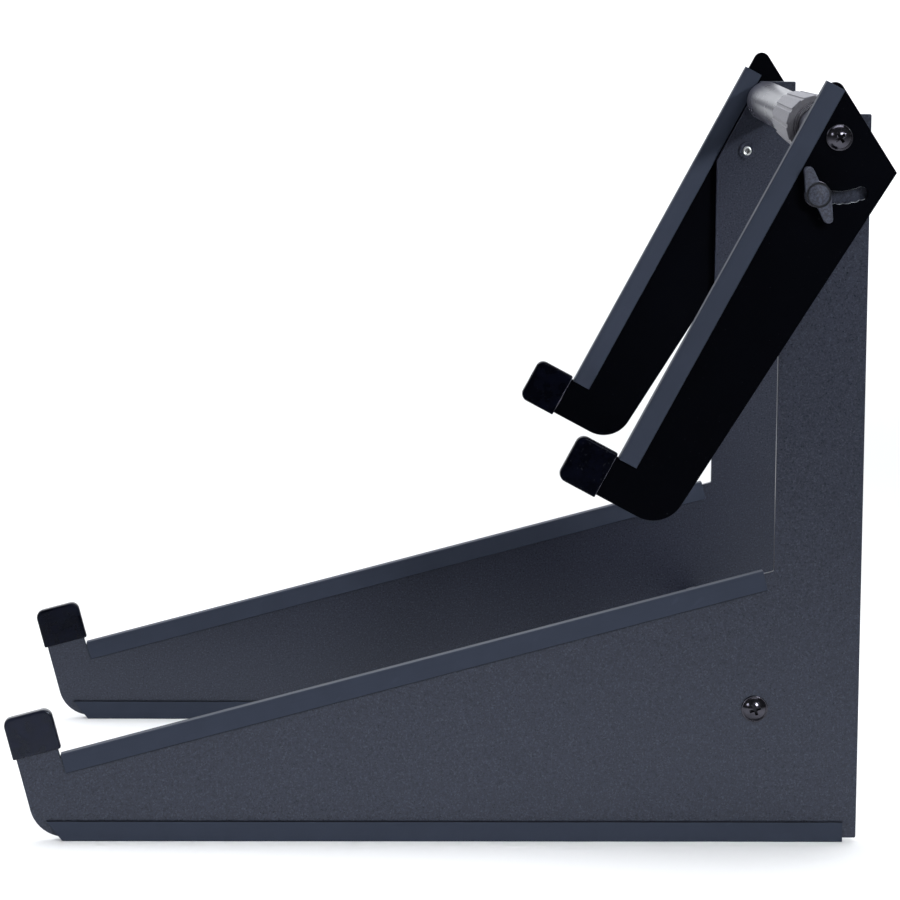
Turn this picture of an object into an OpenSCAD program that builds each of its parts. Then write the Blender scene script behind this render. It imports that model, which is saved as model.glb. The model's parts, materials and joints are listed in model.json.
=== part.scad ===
// Two-tier desktop stand: two L-shaped steel side plates joined by two
// telescoping twist-lock cross tubes, with a tilting arm outside each column.
// The upper tube's thicker end is at the far side, and the lower tube's at the near side.
// X runs from the lips at the front to the columns at the back, Y across the
// stand and Z up. The origin is under the middle of the whole stand.

/* [Side plates] */
// Distance between the middle planes of the two side plates
plate_spacing = 318; // [290:1:345]
// Thickness of the steel side plates
plate_t = 3; // [2:0.1:4]
// Height of the column's top above the arm's pivot
column_above = 11.2; // [8:0.1:20]
// Depth of the column from front to back
column_d = 44; // [40:0.1:60]
// Height of the shelf edge where it meets the column
shelf_h = 137.9; // [120:0.1:160]
// Slope of the shelf edge in degrees
shelf_angle = 15; // [11:0.5:18]
// Length of the shelf edge from the column to its lip
shelf_l = 368.9; // [300:0.1:400]
// Radius of the rounded toe under the shelf lip
toe_r = 18; // [6:0.5:24]
// Radius left in the inner corners of the sheet
inner_corner_r = 0.8; // [0.4:0.1:3]

/* [Lips and caps] */
// Width of a lip along the edge it stands on
lip_w = 21.6; // [16:0.1:28]
// Height of a shelf lip above the shelf edge
shelf_lip_h = 24.3; // [23:0.1:32]
// Height of an arm lip above the arm's front edge
arm_lip_h = 22.8; // [22:0.1:32]
// Radius of the bare lip's corners
lip_r = 2.8; // [1:0.1:6]
// Wall of the dipped vinyl cap on a lip
cap_wall = 1.6; // [0.8:0.1:2]
// Height of a lip cap from its open edge to its top
cap_h = 21.3; // [14:0.1:21.8]
// Radius of the cap's corners, seen from the side
cap_r = 4.3; // [2:0.1:7]
// Radius of the cap's soft outer edges
cap_edge_r = 1.1; // [0.4:0.1:1.4]

/* [Edge trims] */
// Wall of the rubber channel pressed on the edges
trim_wall = 1.8; // [1.2:0.1:2]
// Height of the channel from its back to the edges of its sides
trim_h = 10.2; // [7:0.1:12]
// Radius of the channel's outer shoulders
trim_r = 0.7; // [0.2:0.1:1]
// Bare shelf edge between the lip and the shelf trim
shelf_trim_front_gap = 2; // [1:0.1:10]
// Bare shelf edge between the shelf trim and the column
shelf_trim_back_gap = 3.9; // [1:0.1:10]
// Bare lower edge between the toe's corner and the base trim
base_trim_front_gap = 12.5; // [9:0.1:25]
// Bare lower edge between the base trim and the back of the column
base_trim_back_gap = 7; // [2:0.1:20]
// Slant of the base trim's front end in degrees
base_trim_mitre = 39; // [0:1:50]
// Gap between an arm's lip and the lower end of its trim
arm_trim_gap = 0.3; // [0.1:0.1:3]
// Bare edge above the near arm's trim, up to the tip's corner
near_arm_bare = 4.3; // [4:0.1:30]
// Bare edge above the far arm's trim, which is cut shorter
far_arm_bare = 14.1; // [4:0.1:30]

/* [Arms] */
// Thickness of the steel arms
arm_t = 3; // [2:0.1:4]
// Lean of an arm's front edge above the table in degrees, at its steepest
arm_angle = 62; // [55:0.5:65]
// Pivot to the arm's front edge
arm_front = 17.2; // [15:0.1:22]
// Pivot to the arm's lower edge, along the arm
arm_below = 212.9; // [205:0.1:240]
// Pivot to the point of the tip before it is rounded, along the arm
arm_above = 26.5; // [25:0.1:36]
// Depth of the arm at its lower edge
arm_toe_d = 36.1; // [28:0.1:44]
// Pivot to the heel corner, square to the front edge
arm_heel_back = 33.8; // [32:0.1:40]
// Drop of the heel corner below the pivot, along the arm
arm_heel_drop = 1.8; // [0:0.1:8]
// Radius of the rounded lower corner
arm_toe_r = 16.5; // [4:0.5:20]
// Radius of the rounded tip
arm_tip_r = 4.5; // [1:0.1:6]
// Radius of the heel corner
arm_heel_r = 0.6; // [0.2:0.1:4]

/* [Tilt mechanism] */
// Back of the column to the arm's pivot
pivot_back = 16.5; // [15:0.1:20]
// Height of the arm's pivot above the table
pivot_h = 355.6; // [351:0.1:358]
// Pivot to the wing bolt, which is the radius of the curved slot
index_r = 30; // [28:0.1:32]
// Angle between the wing bolt and straight down from the pivot
bolt_angle = 20.6; // [17:0.1:24]
// Angle between neighbouring seats along the curved slot
index_step = 7.2; // [6:0.1:7.6]
// Number of seats along the slot
index_count = 7; // [4:1:7]
// Radius of one scalloped seat
seat_r = 3.3; // [3.2:0.1:4]
// Thickness of the nylon spacers between arm and side plate
spacer_t = 2.4; // [2.1:0.1:4]
// Outer radius of the spacer round the pivot screw
pivot_spacer_r = 7.5; // [5:0.1:8]
// Outer radius of the spacer round the wing bolt
slot_spacer_r = 6.2; // [5:0.1:8]

/* [Wing bolts] */
// Diameter of the wing bolt's stud
stud_d = 5; // [4:0.1:5.2]
// Length of the stud that stands out of the clinch nut
stud_out = 0.8; // [0.2:0.1:3]
// Radius of the clinch nut's shank in the side plate
nut_shank_r = 3.8; // [3.2:0.1:4.2]
// Radius of the clinch nut's head
nut_head_r = 4.6; // [4.3:0.1:6]
// Thickness of the clinch nut's head
nut_head_t = 1.3; // [0.6:0.1:3]
// Outer radius of the washer under the wing
washer_r = 6.6; // [5.5:0.1:8]
// Thickness of that washer
washer_t = 1; // [0.6:0.1:2]
// Radius of the wing's hub
hub_r = 6.3; // [5.5:0.1:8]
// Height of the hub above the washer
hub_h = 7; // [6:0.1:12]
// Height of the foot of the hub below the wings
hub_foot_h = 2.4; // [1.6:0.1:4]
// Radius of the dome on the hub
dome_r = 5.2; // [3:0.1:5.4]
// Rise of the dome above the hub
dome_rise = 2; // [0.6:0.1:4]
// Reach of a wing from the hub's axis
wing_reach = 13.9; // [12:0.1:16]
// Outer side of a wing's tip from the hub's middle line
wing_tip_out = 7.5; // [6.8:0.1:8]
// Inner side of a wing's tip from the hub's middle line
wing_tip_in = 3.4; // [2.8:0.1:3.6]
// Inner side of a wing's root, past the hub's middle line
wing_root_in = 3.5; // [2:0.1:5]
// Radius of a wing's tip
wing_tip_r = 2; // [0.5:0.1:2]

/* [Screws] */
// Back of the column to the lower cross tube's axis
tie_back = 52.5; // [36:0.1:120]
// Height of the lower cross tube's axis above the table
tie_h = 68; // [40:0.1:100]
// Diameter of the screws that hold the cross tubes
screw_d = 6; // [4:0.1:8]
// Radius of a screw's flanged head
screw_head_r = 6.8; // [5:0.1:8]
// Thickness of the head's flange
screw_rim_t = 1.1; // [0.6:0.1:2]
// Radius of the domed part of the head
screw_dome_r = 5.5; // [4:0.1:6]
// Rise of the dome above the flange
screw_dome_rise = 2.9; // [1.5:0.1:4]
// Length of screw inside a tube plug
screw_grip = 14; // [8:0.5:18]
// Length of one bar of the cross recess
recess_l = 6.4; // [3:0.1:8]
// Width of one bar of the cross recess
recess_w = 1.2; // [0.8:0.1:2]
// Depth of the cross recess
recess_depth = 2.2; // [1:0.1:3]

/* [Cross tubes] */
// Outer diameter of the outer tube
outer_tube_d = 22.2; // [21.6:0.1:22.6]
// Wall of the outer tube
outer_tube_wall = 1.3; // [0.8:0.1:1.3]
// Length of the outer tube
outer_tube_l = 207; // [185:1:215]
// Outer diameter of the inner tube
inner_tube_d = 19; // [16:0.1:19.1]
// Wall of the inner tube
inner_tube_wall = 1.2; // [0.8:0.1:2]
// Length of the inner tube
inner_tube_l = 210; // [170:1:215]
// Length of the plugs in the tubes' fixed ends
plug_l = 20; // [16:0.5:25]
// Length of the guide bush outside the inner tube's free end
bush_rim_l = 5; // [3:0.1:8]
// Length of the guide bush inside the inner tube
bush_spigot_l = 12; // [6:0.1:20]
// Wall of the guide bush's spigot
bush_wall = 1.8; // [1:0.1:3]

/* [Twist locks] */
// Length of the lock collar
collar_l = 84; // [60:0.5:90]
// Radius of the corners between the lock collar's flats, at its front face
collar_r = 16.4; // [15.4:0.1:18]
// Radius of those corners at the collar's other end
collar_back_r = 14.2; // [13.9:0.1:15.3]
// Outer tube's end to the front face of the collar
collar_reach = 27; // [25:0.1:30]
// Thickness of the collar's nose in front of the collet
nose_t = 4; // [2:0.1:5]
// Number of finger flats round the collar
flat_count = 12; // [11:1:16]
// Width of the notch between two flats
notch_w = 1.8; // [0.8:0.1:2.4]
// Depth of a notch below the corners' radius
notch_depth = 1; // [0.3:0.1:1.1]
// Chamfer on the collar's rims
collar_chamfer = 0.9; // [0.3:0.1:1]
// Radius of the wide ring groove in the collar's front face
face_groove_r = 12; // [11.9:0.1:13.8]
// Radius of the fine ring groove inside it
fine_groove_r = 10.9; // [10.2:0.1:11.1]
// Width of the wide groove
face_groove_w = 0.8; // [0.3:0.1:1]
// Width of the fine groove
fine_groove_w = 0.5; // [0.2:0.1:0.6]
// Radius of the collar's bore, which carries the thread
collar_bore_r = 12.55; // [12.4:0.05:12.7]
// Length of the threaded sleeve past the outer tube's end
sleeve_mouth_l = 16; // [14:0.1:18]
// Length of the threaded sleeve over the outer tube
sleeve_socket_l = 27; // [15:0.1:32]
// Thickness of the collet's flange
collet_flange_t = 3; // [2:0.1:4]
// Length of the collet's fingers
collet_finger_l = 16; // [12:0.1:18]
// Radius of the collet's fingers at the flange
collet_root_r = 11.7; // [11.5:0.05:11.8]
// Radius of the collet's fingers at their tips
collet_tip_r = 10.3; // [10.1:0.05:10.5]
// Number of slits between the fingers
slit_count = 6; // [3:1:8]
// Width of a slit
slit_w = 1; // [0.5:0.1:2]
// Length of finger left uncut at the flange
slit_stop = 2; // [1:0.1:4]

/* [Fits] */
// Clearance of running and pressed round fits, on the radius
fit_gap = 0.05; // [0.02:0.01:0.08]
// Clearance of channels and caps on the sheet
grip_gap = 0.05; // [0.02:0.01:0.15]
// Clearance between the column's slanted corner and the arm's trim
stop_gap = 0.4; // [0.2:0.1:1]

/* [Hidden] */
SIDES = ["near", "far"];

$fn = 72;
// Facets of the soft cap corners
soft_facets = 32;
// Straight steps in a quarter of a rounded outline
arc_steps = 12;
// Overrun of every cut past the face it opens
over = 1;

// Directions along and square to the shelf edge, in the plane of a side plate
shelf_along = [cos(shelf_angle), sin(shelf_angle)];
shelf_up = [-sin(shelf_angle), cos(shelf_angle)];
// Directions up the arm and square to its front edge, towards the back
arm_along = [cos(arm_angle), sin(arm_angle)];
arm_back = [sin(arm_angle), -cos(arm_angle)];

// Places in the plane of a side plate, measured from the foot of the column's back
pivot = [-pivot_back, pivot_h];
column_h = pivot_h + column_above;
tie = [-tie_back, tie_h];
bolt = pivot + index_r * [-sin(bolt_angle), -cos(bolt_angle)];
plate_foot = trim_wall;
inner_corner = [-column_d, shelf_h];
lip_foot = inner_corner - shelf_l * shelf_along;
lip_top = lip_foot + shelf_lip_h * shelf_up;
lip_front = lip_top - lip_w * shelf_along;
toe = lip_front - shelf_up * (lip_front.y - plate_foot) / shelf_up.y;
// Line of the slanted corner, square distance in front of the pivot
slant_front = arm_front + trim_wall - trim_h - stop_gap;
slant_top = [pivot.x + (arm_along.x * (column_h - pivot.y) - slant_front) / arm_back.x, column_h];
slant_foot = [-column_d, pivot.y + (slant_front + arm_back.x * (-column_d - pivot.x)) / arm_along.x];

// Places in the arm's own plane: x back from the pivot, y up the arm
arm_lip_foot = [-arm_front, lip_w - arm_below];
arm_heel = [arm_heel_back, -arm_heel_drop];
arm_toe = [arm_toe_d - arm_front, -arm_below];
arm_edge_l = arm_above - arm_lip_foot.y - arm_trim_gap;
seat_angle = 90 - arm_angle - bolt_angle;

// Heights above the middle plane of a side plate, outwards
plate_face = plate_t / 2;
arm_inner_face = plate_face + spacer_t;
arm_outer_face = arm_inner_face + arm_t;
knob_foot = arm_outer_face + washer_t;

// Distances along a cross tube from the face of the plate that holds the inner tube
tube_gap = plate_spacing - plate_t;
tube_end = tube_gap - outer_tube_l;
collar_start = tube_end - collar_reach;
collet_start = collar_start + nose_t;
finger_start = collet_start + collet_flange_t;
sleeve_start = tube_end - sleeve_mouth_l;
outer_r = outer_tube_d / 2;
inner_r = inner_tube_d / 2;
bore_r = outer_r - outer_tube_wall;
stud_r = stud_d / 2;
screw_r = screw_d / 2;
plug_r = inner_r - inner_tube_wall - fit_gap;
sleeve_r = collar_bore_r - fit_gap;
collet_bore_r = inner_r + fit_gap;
groove_depth = nose_t / 4;

// The stand's reach to the front and back sets where its middle lies
cap_corner = lip_top - shelf_along * (lip_w + cap_wall - cap_r) + shelf_up * (cap_wall - cap_r);
front_reach = cap_corner.x - cap_r;
back_reach = pivot.x + arm_heel.x * arm_back.x + arm_heel.y * arm_along.x;
middle_x = (front_reach + back_reach) / 2;

steel_grey = [0.20, 0.21, 0.24];
rubber_grey = [0.17, 0.18, 0.21];
arm_black = [0.04, 0.04, 0.05];
vinyl_black = [0.06, 0.06, 0.08];
tube_grey = [0.62, 0.62, 0.66];
collar_grey = [0.70, 0.70, 0.73];
knob_grey = [0.26, 0.26, 0.29];

// Points of a polygon whose corners [x, y, radius] are rounded by arcs
function unit(v) = v / norm(v);
function swing(from, to) = (to - from + 540) % 360 - 180;
function corner_arc(before, corner, after, r) =
    let (u = unit(before - corner), w = unit(after - corner), half = acos(u * w) / 2)
    let (centre = corner + unit(u + w) * r / sin(half))
    let (start = corner + u * r / tan(half) - centre, finish = corner + w * r / tan(half) - centre)
    let (a = atan2(start.y, start.x), turn = swing(a, atan2(finish.y, finish.x)))
    let (steps = max(2, ceil(arc_steps * abs(turn) / 90)))
    [for (i = [0 : steps]) centre + r * [cos(a + turn * i / steps), sin(a + turn * i / steps)]];
function flat(p) = [p.x, p.y];
function rounded(points) = let (n = len(points))
    [for (i = [0 : n - 1])
        let (p = points[i], r = p[2])
        let (before = flat(points[(i + n - 1) % n]), after = flat(points[(i + 1) % n]))
        each (r > 0 ? corner_arc(before, flat(p), after, r) : [flat(p)])];
function with_r(p, r) = [p.x, p.y, r];

// Stands a side's pieces up: drawn flat with z outwards, from the column's foot
module near_side() {
    translate([-middle_x, -plate_spacing / 2, 0]) rotate([90, 0, 0]) children();
}

module far_side() {
    mirror([0, 1, 0]) near_side() children();
}

module on_side(side) {
    if (side == "near") near_side() children();
    else far_side() children();
}

// Lays children on the arm: x back from the pivot, y up the arm, z outwards
module on_arm() {
    translate(pivot) rotate(arm_angle - 90) children();
}

// Sheet of a given thickness, its inner face at height z
module sheet(z, t) {
    translate([0, 0, z]) linear_extrude(t) children();
}

// Rubber channel along +x: its back lies at y = 0 and its sides run to trim_h
module channel(l, sheet_t) {
    half_w = sheet_t / 2 + grip_gap + trim_wall;
    slot_w = sheet_t / 2 + grip_gap;
    rotate([90, 0, 90]) linear_extrude(l) difference() {
        polygon(rounded([[0, -half_w, trim_r], [trim_h, -half_w, trim_r / 2],
            [trim_h, half_w, trim_r / 2], [0, half_w, trim_r]]));
        translate([trim_wall, -slot_w]) square([trim_h, 2 * slot_w]);
    }
}

// Cap over a lip: x along the lip from its inner side, y up from its foot
module lip_cap(lip_h, sheet_t) {
    half_t = sheet_t / 2 + cap_wall;
    top = lip_h + cap_wall;
    disc_in = cap_r - cap_edge_r;
    difference() {
        hull() {
            for (x = [cap_r - cap_wall, lip_w + cap_wall - cap_r], y = [top - cap_r, top - cap_h - cap_r])
                translate([x, y, 0]) rotate_extrude($fn = soft_facets)
                    polygon(concat([[0, -half_t]],
                        [for (a = [-90 : 30 : 0]) [disc_in, cap_edge_r - half_t]
                            + cap_edge_r * [cos(a), sin(a)]],
                        [for (a = [0 : 30 : 90]) [disc_in, half_t - cap_edge_r]
                            + cap_edge_r * [cos(a), sin(a)]], [[0, half_t]]));
        }
        translate([-over - cap_wall, top - cap_h - cap_h, -half_t - over])
            cube([lip_w + 2 * (cap_wall + over), cap_h, 2 * (half_t + over)]);
        translate([0, 0, -sheet_t / 2 - grip_gap]) linear_extrude(sheet_t + 2 * grip_gap)
            polygon(rounded([[-grip_gap, top - cap_h - over, 0], [lip_w + grip_gap, top - cap_h - over, 0],
                [lip_w + grip_gap, lip_h + grip_gap, lip_r], [-grip_gap, lip_h + grip_gap, lip_r]]));
    }
}

module ring(outer, inner, h) {
    difference() {
        cylinder(r = outer, h = h);
        translate([0, 0, -over]) cylinder(r = inner, h = h + 2 * over);
    }
}

module side_plate() {
    color(steel_grey) difference() {
        sheet(-plate_face, plate_t) polygon(rounded([
            [0, plate_foot, inner_corner_r], [0, column_h, inner_corner_r],
            with_r(slant_top, inner_corner_r), with_r(slant_foot, 0),
            with_r(inner_corner, inner_corner_r), with_r(lip_foot, inner_corner_r),
            with_r(lip_top, lip_r), with_r(lip_front, lip_r), with_r(toe, toe_r)]));
        for (hole = [[pivot, screw_r], [tie, screw_r], [bolt, nut_shank_r]])
            translate([hole[0].x, hole[0].y, -plate_face - over])
                cylinder(r = hole[1] + fit_gap, h = plate_t + 2 * over);
    }
}

module base_trim() {
    start = toe.x + base_trim_front_gap;
    run = -base_trim_back_gap - start;
    lead = trim_h * tan(base_trim_mitre);
    color(rubber_grey) difference() {
        translate([start - lead, 0, 0]) mirror([0, 0, 1]) channel(run + lead, plate_t);
        sheet(-plate_t - trim_wall - over, 2 * (plate_t + trim_wall + over))
            polygon([[start, 0], [start, -over], [start - lead - over, -over],
                [start - lead - over, trim_h + over],
                [start - lead - over * tan(base_trim_mitre), trim_h + over]]);
    }
}

module shelf_trim() {
    foot = lip_foot + shelf_trim_front_gap * shelf_along + trim_wall * shelf_up;
    color(rubber_grey) translate(foot) rotate(shelf_angle) mirror([0, 1, 0])
        channel(shelf_l - shelf_trim_front_gap - shelf_trim_back_gap, plate_t);
}

module shelf_lip_cap() {
    color(vinyl_black) translate(lip_foot) rotate(shelf_angle) mirror([1, 0, 0])
        lip_cap(shelf_lip_h, plate_t);
}

// Curved slot: a band about the pivot whose outer side is scalloped by the seats
module index_slot() {
    crest = sqrt(pow(seat_r, 2) - pow(index_r * sin(index_step / 2), 2));
    first = seat_angle - 90;
    last = first + (index_count - 1) * index_step;
    wide = index_r + 2 * seat_r;
    sheet(arm_inner_face - over, arm_t + 2 * over) {
        intersection() {
            difference() {
                circle(r = index_r * cos(index_step / 2) + crest);
                circle(r = index_r - seat_r);
            }
            polygon([[0, 0], wide * [cos(first), sin(first)],
                wide / cos((last - first) / 2) * [cos((first + last) / 2), sin((first + last) / 2)],
                wide * [cos(last), sin(last)]]);
        }
        for (i = [0 : index_count - 1])
            rotate(first + i * index_step) translate([index_r, 0]) circle(r = seat_r);
    }
}

module arm() {
    color(arm_black) on_arm() difference() {
        sheet(arm_inner_face, arm_t) polygon(rounded([
            with_r(arm_lip_foot, inner_corner_r), [-arm_front, arm_above, arm_tip_r],
            with_r(arm_heel, arm_heel_r), with_r(arm_toe, arm_toe_r),
            [-arm_front - arm_lip_h, -arm_below, lip_r],
            [-arm_front - arm_lip_h, arm_lip_foot.y, lip_r]]));
        translate([0, 0, arm_inner_face - over]) cylinder(r = screw_r + fit_gap, h = arm_t + 2 * over);
        index_slot();
    }
}

module arm_trim(l) {
    color(rubber_grey) on_arm()
        translate([-arm_front - trim_wall, arm_lip_foot.y + arm_trim_gap, arm_inner_face + arm_t / 2])
            rotate(90) mirror([0, 1, 0]) channel(l, arm_t);
}

module arm_lip_cap() {
    color(vinyl_black) on_arm()
        translate([arm_lip_foot.x, arm_lip_foot.y, arm_inner_face + arm_t / 2])
            mirror([0, 1, 0]) rotate(90) lip_cap(arm_lip_h, arm_t);
}

// Flanged screw, its head's seat at z = 0 and its shank running down
module flanged_screw(l) {
    dome_ball_r = (pow(screw_dome_r, 2) + pow(screw_dome_rise, 2)) / (2 * screw_dome_rise);
    dome_reach = asin(screw_dome_r / dome_ball_r);
    color(arm_black) {
        translate([0, 0, -l]) cylinder(r = screw_r, h = l);
        difference() {
            rotate_extrude() polygon(concat([[0, 0], [screw_head_r, 0], [screw_head_r, screw_rim_t / 2],
                [screw_head_r - screw_rim_t / 2, screw_rim_t]],
                [for (i = [arc_steps : -1 : 0]) let (a = dome_reach * i / arc_steps)
                    [dome_ball_r * sin(a), screw_rim_t + screw_dome_rise - dome_ball_r * (1 - cos(a))]]));
            for (turn = [45, 135])
                rotate(turn)
                    translate([-recess_l / 2, -recess_w / 2, screw_rim_t + screw_dome_rise - recess_depth])
                        cube([recess_l, recess_w, recess_depth + over]);
        }
    }
}

module pivot_screw() {
    translate([pivot.x, pivot.y, arm_outer_face]) flanged_screw(arm_outer_face + plate_face + screw_grip);
}

module base_screw() {
    translate([tie.x, tie.y, plate_face]) flanged_screw(plate_t + screw_grip);
}

module pivot_spacer() {
    color(vinyl_black) translate([pivot.x, pivot.y, plate_face])
        ring(pivot_spacer_r, screw_r + fit_gap, spacer_t);
}

module slot_spacer() {
    color(vinyl_black) translate([bolt.x, bolt.y, plate_face])
        ring(slot_spacer_r, stud_r + fit_gap, spacer_t);
}

module clinch_nut() {
    color(steel_grey) translate([bolt.x, bolt.y, -plate_face]) difference() {
        union() {
            cylinder(r = nut_shank_r, h = plate_t);
            translate([0, 0, -nut_head_t]) cylinder(r = nut_head_r, h = nut_head_t);
        }
        translate([0, 0, -nut_head_t - over])
            cylinder(r = stud_r + fit_gap, h = plate_t + nut_head_t + 2 * over);
    }
}

module wing_washer() {
    color("silver") translate([bolt.x, bolt.y, arm_outer_face])
        ring(washer_r, stud_r + fit_gap, washer_t);
}

// Wing bolt's moulded head: a hub with two offset wings and a dome. Both sides
// use the same head, so the far one is mirrored back.
module wing_knob(side) {
    translate([bolt.x, bolt.y, knob_foot]) {
        if (side == "far") mirror([1, 0, 0]) wing_head();
        else wing_head();
    }
}

module wing_head() {
    socket_h = hub_h - hub_foot_h;
    dome_ball_r = (pow(dome_r, 2) + pow(dome_rise, 2)) / (2 * dome_rise);
    dome_reach = asin(dome_r / dome_ball_r);
    color(knob_grey) difference() {
        union() {
            cylinder(r = hub_r, h = hub_h);
            sheet(hub_foot_h, hub_h - hub_foot_h) for (turn = [0, 180]) rotate(turn)
                polygon(rounded([[-hub_r, 0, 0], [-wing_tip_out, wing_reach, wing_tip_r],
                    [-wing_tip_in, wing_reach, wing_tip_r], [wing_root_in, 0, 0]]));
            rotate_extrude() polygon(concat([[0, 0]], [for (i = [arc_steps : -1 : 0])
                let (a = dome_reach * i / arc_steps)
                [dome_ball_r * sin(a), hub_h + dome_rise - dome_ball_r * (1 - cos(a))]]));
        }
        translate([0, 0, -over]) cylinder(r = stud_r + fit_gap, h = socket_h + over);
    }
}

module wing_stud() {
    socket_h = hub_h - hub_foot_h;
    foot = -plate_face - nut_head_t - stud_out;
    tip_chamfer = stud_r / 5;
    color("silver") translate([bolt.x, bolt.y, foot]) {
        cylinder(r1 = stud_r - tip_chamfer, r2 = stud_r, h = tip_chamfer);
        translate([0, 0, tip_chamfer]) cylinder(r = stud_r, h = knob_foot + socket_h - foot - tip_chamfer);
    }
}

// Lays children along a cross tube: z runs from the inner tube's side plate to the other.
// The lower tube is the upper one turned end for end.
module along_tube(tier) {
    axis = tier == "top" ? pivot : tie;
    turn = tier == "top" ? 0 : 180;
    translate([axis.x - middle_x, 0, axis.y]) rotate([0, 0, turn])
        translate([0, -tube_gap / 2, 0]) rotate([-90, 0, 0]) children();
}

module outer_tube() {
    color(tube_grey) translate([0, 0, tube_end]) ring(outer_r, bore_r, outer_tube_l);
}

module inner_tube() {
    color(tube_grey) ring(inner_r, inner_r - inner_tube_wall, inner_tube_l);
}

module inner_plug() {
    color(arm_black) ring(plug_r, screw_r + fit_gap, plug_l);
}

module outer_plug() {
    color(arm_black) translate([0, 0, tube_gap - plug_l]) ring(bore_r - fit_gap, screw_r + fit_gap, plug_l);
}

// Bush that guides the inner tube's free end inside the outer tube
module guide_bush() {
    color(arm_black) translate([0, 0, inner_tube_l]) difference() {
        union() {
            cylinder(r = bore_r - fit_gap, h = bush_rim_l);
            translate([0, 0, -bush_spigot_l]) cylinder(r = plug_r, h = bush_spigot_l);
        }
        translate([0, 0, -bush_spigot_l - over])
            cylinder(r = plug_r - bush_wall, h = bush_spigot_l + bush_rim_l + 2 * over);
    }
}

// Radius of the collet's fingers at distance z from their roots
function finger_r(z) = collet_root_r + (collet_tip_r - collet_root_r) * z / collet_finger_l;

// Sleeve on the outer tube's end: thread outside, tapered mouth for the collet inside
module thread_sleeve() {
    mouth_r = finger_r(sleeve_start - finger_start) + fit_gap;
    throat = finger_start + collet_finger_l;
    throat_r = collet_tip_r + fit_gap;
    color(arm_black) difference() {
        translate([0, 0, sleeve_start]) cylinder(r = sleeve_r, h = sleeve_mouth_l + sleeve_socket_l);
        translate([0, 0, sleeve_start]) cylinder(r1 = mouth_r, r2 = throat_r, h = throat - sleeve_start);
        translate([0, 0, sleeve_start - over]) cylinder(r = throat_r, h = sleeve_mouth_l + 2 * over);
        translate([0, 0, tube_end]) cylinder(r = outer_r + fit_gap, h = sleeve_socket_l + over);
    }
}

// Split ring that the collar squeezes on the inner tube
module collet() {
    color(vinyl_black) difference() {
        union() {
            translate([0, 0, collet_start]) cylinder(r = sleeve_r, h = collet_flange_t);
            translate([0, 0, finger_start])
                cylinder(r1 = collet_root_r, r2 = collet_tip_r, h = collet_finger_l);
        }
        translate([0, 0, collet_start - over])
            cylinder(r = collet_bore_r, h = collet_flange_t + collet_finger_l + 2 * over);
        for (i = [0 : slit_count - 1]) rotate(360 * i / slit_count)
            translate([0, -slit_w / 2, finger_start + slit_stop])
                cube([collet_root_r + over, slit_w, collet_finger_l]);
    }
}

// Ring groove of radius r and width w in the collar's front face
module face_groove(r, w) {
    translate([0, 0, -over]) difference() {
        cylinder(r = r + w / 2, h = groove_depth + over);
        cylinder(r = r - w / 2, h = groove_depth + over);
    }
}

// Flared nut with finger flats: its nose bears on the collet's flange
module lock_collar() {
    flare = atan2(collar_r - collar_back_r, collar_l);
    back_rim = collar_back_r - collar_chamfer;
    color(collar_grey) translate([0, 0, collar_start]) difference() {
        intersection() {
            cylinder(r1 = collar_r, r2 = collar_back_r, h = collar_l, $fn = flat_count);
            rotate_extrude() polygon([[0, 0], [collar_r - collar_chamfer, 0], [collar_r, collar_chamfer],
                [collar_r, collar_l - collar_r + back_rim], [back_rim, collar_l], [0, collar_l]]);
        }
        translate([0, 0, nose_t]) cylinder(r = collar_bore_r, h = collar_l);
        translate([0, 0, -over]) cylinder(r = collet_bore_r + fit_gap, h = nose_t + 2 * over);
        face_groove(face_groove_r, face_groove_w);
        face_groove(fine_groove_r, fine_groove_w);
        for (i = [0 : flat_count - 1]) rotate(360 * i / flat_count)
            translate([collar_r - notch_depth, 0, 0]) rotate([0, -flare, 0])
                translate([0, -notch_w / 2, -over]) cube([notch_w, notch_w, collar_l + 2 * over]);
    }
}

for (side = SIDES) on_side(side) {
    side_plate();
    base_trim();
    shelf_trim();
    shelf_lip_cap();
    arm();
    arm_trim(arm_edge_l - (side == "near" ? near_arm_bare : far_arm_bare));
    arm_lip_cap();
    pivot_screw();
    pivot_spacer();
    slot_spacer();
    base_screw();
    clinch_nut();
    wing_washer();
    wing_knob(side);
    wing_stud();
}

for (tier = ["top", "bottom"]) along_tube(tier) {
    outer_tube();
    inner_tube();
    thread_sleeve();
    collet();
    lock_collar();
    guide_bush();
    inner_plug();
    outer_plug();
}
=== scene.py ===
"""Looks for a desktop stand: coated sheet, rubber trims, dipped caps, wing bolts, twist locks."""

import json
import math

import bpy
from bpy.props import FloatProperty, FloatVectorProperty, IntProperty, PointerProperty
from mathutils import Euler, Matrix, Vector

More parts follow.
